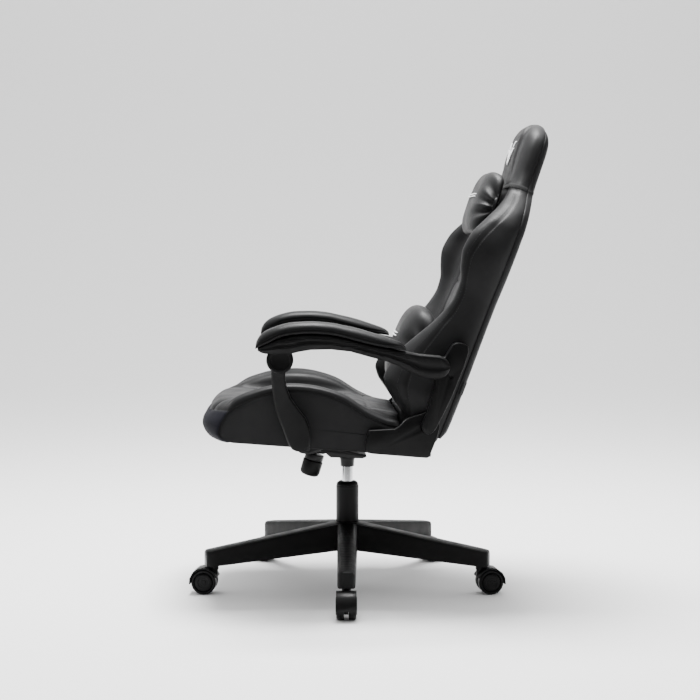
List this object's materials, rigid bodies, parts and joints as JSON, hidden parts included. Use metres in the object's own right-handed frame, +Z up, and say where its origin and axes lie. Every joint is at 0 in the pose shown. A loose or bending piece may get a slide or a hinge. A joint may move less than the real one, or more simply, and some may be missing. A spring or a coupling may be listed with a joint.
{
  "type": "gaming chair",
  "caption": "Reclining racing-style office chair with bucket seat, linked armrests, neck and lumbar pillows, gas lift and five-star castor base.",
  "frame": {"origin": "middle of the footprint on the floor", "axes": "+Z up, -Y the way the chair faces, +X the sitter's left"},
  "size_m": [0.7372, 0.866, 1.1433],
  "materials": {
    "seat_leather": "satin",
    "rear_leather": "satin",
    "pillow_leather": "satin",
    "pad_leather": "satin",
    "nylon": "satin",
    "covers": "satin",
    "castor_plastic": "satin",
    "black_steel": "satin",
    "chrome": "polished",
    "bright_steel": "satin",
    "board": "matte",
    "webbing": "matte"
  },
  "bodies": {
    "base": {"base_star": "nylon", "gas_lift_outer_tube": "black_steel", "guide_bushing": "nylon", "column_sleeve": "covers", "column_collar": "covers", "piston_rod": "bright_steel"},
    "lift": {"gas_cylinder": "chrome"},
    "mechanism": {"mechanism_housing": "black_steel", "tilt_pin": "bright_steel", "spring_cup": "black_steel", "tension_bolt": "bright_steel"},
    "tension_knob": {"tension_knob": "covers"},
    "height_lever": {"height_lever": "covers"},
    "seat": {"seat_plate": "black_steel", "seat_pan": "board", "seat_cushion": "seat_leather", "seat_bracket_left": "black_steel", "seat_bracket_right": "black_steel", "seat_side_cover_left": "covers", "seat_side_cover_right": "covers"},
    "recline_lever": {"recline_lever": "covers"},
    "back": {"back_cushion": "seat_leather", "back_frame": "black_steel", "back_rear_panel": "rear_leather", "back_bracket_left": "black_steel", "back_bracket_right": "black_steel", "back_side_cover_left": "covers", "back_side_cover_right": "covers", "head_pillow": "pillow_leather", "head_strap": "webbing", "lumbar_pillow": "pillow_leather", "lumbar_strap": "webbing", "strap_buckle": "covers"},
    "armrest_left": {"arm_pad_left": "pad_leather", "arm_shell_left": "covers"},
    "armrest_right": {"arm_pad_right": "pad_leather", "arm_shell_right": "covers"},
    "support_left": {"arm_support_left": "covers"},
    "support_right": {"arm_support_right": "covers"},
    "castor_1": {"castor_1_body": "castor_plastic", "castor_1_axle": "bright_steel"},
    "castor_1_wheel_a": {"castor_1_wheel_a": "castor_plastic"},
    "castor_1_wheel_b": {"castor_1_wheel_b": "castor_plastic"},
    "castor_2": {"castor_2_body": "castor_plastic", "castor_2_axle": "bright_steel"},
    "castor_2_wheel_a": {"castor_2_wheel_a": "castor_plastic"},
    "castor_2_wheel_b": {"castor_2_wheel_b": "castor_plastic"},
    "castor_3": {"castor_3_body": "castor_plastic", "castor_3_axle": "bright_steel"},
    "castor_3_wheel_a": {"castor_3_wheel_a": "castor_plastic"},
    "castor_3_wheel_b": {"castor_3_wheel_b": "castor_plastic"},
    "castor_4": {"castor_4_body": "castor_plastic", "castor_4_axle": "bright_steel"},
    "castor_4_wheel_a": {"castor_4_wheel_a": "castor_plastic"},
    "castor_4_wheel_b": {"castor_4_wheel_b": "castor_plastic"},
    "castor_5": {"castor_5_body": "castor_plastic", "castor_5_axle": "bright_steel"},
    "castor_5_wheel_a": {"castor_5_wheel_a": "castor_plastic"},
    "castor_5_wheel_b": {"castor_5_wheel_b": "castor_plastic"}
  },
  "joints": [
    {"name": "lift_slide", "type": "slide", "parent": "base", "child": "lift", "axis": [0, 0, 1], "range_m": [-0.028, 0.06]},
    {"name": "seat_swivel", "type": "hinge", "parent": "lift", "child": "mechanism", "pos_m": [-0.03115, -0.04408, 0.3], "axis": [0, 0, 1], "continuous": true},
    {"name": "seat_tilt", "type": "hinge", "parent": "mechanism", "child": "seat", "pos_m": [-0.03115, -0.14408, 0.352], "axis": [-1, 0, 0], "range_deg": [0, 10], "stiffness_Nm_per_rad": 170, "springref_deg": -18.33},
    {"name": "back_recline", "type": "hinge", "parent": "seat", "child": "back", "pos_m": [-0.03115, 0.13092, 0.43], "axis": [-1, 0, 0], "range_deg": [-4, 30]},
    {"name": "recline_lever_lift", "type": "hinge", "parent": "seat", "child": "recline_lever", "pos_m": [-0.30315, 0.09092, 0.397], "axis": [-1, 0, 0], "range_deg": [0, 25], "stiffness_Nm_per_rad": 0.8, "springref_deg": -17.19},
    {"name": "tension_knob_turn", "type": "hinge", "parent": "mechanism", "child": "tension_knob", "pos_m": [-0.03115, -0.12308, 0.333], "axis": [0, -0.2861, -0.9582], "range_deg": [0, 720]},
    {"name": "height_lever_lift", "type": "hinge", "parent": "mechanism", "child": "height_lever", "pos_m": [-0.08015, -0.03208, 0.329], "axis": [0, 1, 0], "range_deg": [0, 5], "stiffness_Nm_per_rad": 1.5, "springref_deg": -8.59},
    {"name": "armrest_left_turn", "type": "hinge", "parent": "back", "child": "armrest_left", "pos_m": [0.26885, 0.15392, 0.568], "axis": [-1, 0, 0], "range_deg": [-25, 3.4]},
    {"name": "support_left_turn", "type": "hinge", "parent": "seat", "child": "support_left", "pos_m": [0.23605, -0.16208, 0.398], "axis": [-1, 0, 0], "range_deg": [-3, 21.5]},
    {"name": "armrest_right_turn", "type": "hinge", "parent": "back", "child": "armrest_right", "pos_m": [-0.33115, 0.15392, 0.568], "axis": [-1, 0, 0], "range_deg": [-25, 3.4]},
    {"name": "support_right_turn", "type": "hinge", "parent": "seat", "child": "support_right", "pos_m": [-0.29835, -0.16208, 0.398], "axis": [-1, 0, 0], "range_deg": [-3, 21.5]},
    {"name": "castor_1_swivel", "type": "hinge", "parent": "base", "child": "castor_1", "pos_m": [0.30854, -0.05861, 0.07], "axis": [0, 0, 1], "continuous": true},
    {"name": "castor_1_wheel_a_spin", "type": "hinge", "parent": "castor_1", "child": "castor_1_wheel_a", "pos_m": [0.33311, -0.0457, 0.0305], "axis": [0.0427, 0.9991, 0], "continuous": true},
    {"name": "castor_1_wheel_b_spin", "type": "hinge", "parent": "castor_1", "child": "castor_1_wheel_b", "pos_m": [0.33192, -0.07358, 0.0305], "axis": [0.0427, 0.9991, 0], "continuous": true},
    {"name": "castor_2_swivel", "type": "hinge", "parent": "base", "child": "castor_2", "pos_m": [0.08764, 0.27449, 0.07], "axis": [0, 0, 1], "continuous": true},
    {"name": "castor_2_wheel_a_spin", "type": "hinge", "parent": "castor_2", "child": "castor_2_wheel_a", "pos_m": [0.07066, 0.29645, 0.0305], "axis": [-0.9913, -0.1314, 0], "continuous": true},
    {"name": "castor_2_wheel_b_spin", "type": "hinge", "parent": "castor_2", "child": "castor_2_wheel_b", "pos_m": [0.09832, 0.30012, 0.0305], "axis": [-0.9913, -0.1314, 0], "continuous": true},
    {"name": "castor_3_swivel", "type": "hinge", "parent": "base", "child": "castor_3", "pos_m": [-0.29742, 0.16734, 0.07], "axis": [0, 0, 1], "continuous": true},
    {"name": "castor_3_wheel_a_spin", "type": "hinge", "parent": "castor_3", "child": "castor_3_wheel_a", "pos_m": [-0.31796, 0.18602, 0.0305], "axis": [-0.9535, -0.3015, 0], "continuous": true},
    {"name": "castor_3_wheel_b_spin", "type": "hinge", "parent": "castor_3", "child": "castor_3_wheel_b", "pos_m": [-0.29136, 0.19443, 0.0305], "axis": [-0.9535, -0.3015, 0], "continuous": true},
    {"name": "castor_4_swivel", "type": "hinge", "parent": "base", "child": "castor_4", "pos_m": [-0.31451, -0.23199, 0.07], "axis": [0, 0, 1], "continuous": true},
    {"name": "castor_4_wheel_a_spin", "type": "hinge", "parent": "castor_4", "child": "castor_4_wheel_a", "pos_m": [-0.31222, -0.25965, 0.0305], "axis": [0.903, -0.4297, 0], "continuous": true},
    {"name": "castor_4_wheel_b_spin", "type": "hinge", "parent": "castor_4", "child": "castor_4_wheel_b", "pos_m": [-0.33742, -0.24766, 0.0305], "axis": [0.903, -0.4297, 0], "continuous": true},
    {"name": "castor_5_swivel", "type": "hinge", "parent": "base", "child": "castor_5", "pos_m": [0.06, -0.37163, 0.07], "axis": [0, 0, 1], "continuous": true},
    {"name": "castor_5_wheel_a_spin", "type": "hinge", "parent": "castor_5", "child": "castor_5_wheel_a", "pos_m": [0.07116, -0.39705, 0.0305], "axis": [0.9937, -0.1123, 0], "continuous": true},
    {"name": "castor_5_wheel_b_spin", "type": "hinge", "parent": "castor_5", "child": "castor_5_wheel_b", "pos_m": [0.04344, -0.39392, 0.0305], "axis": [0.9937, -0.1123, 0], "continuous": true}
  ],
  "couplings": [
    {"joint": "armrest_left_turn", "follows": "back_recline", "ratio": -0.8243},
    {"joint": "support_left_turn", "follows": "back_recline", "ratio": 0.7055},
    {"joint": "armrest_right_turn", "follows": "back_recline", "ratio": -0.8243},
    {"joint": "support_right_turn", "follows": "back_recline", "ratio": 0.7055}
  ]
}
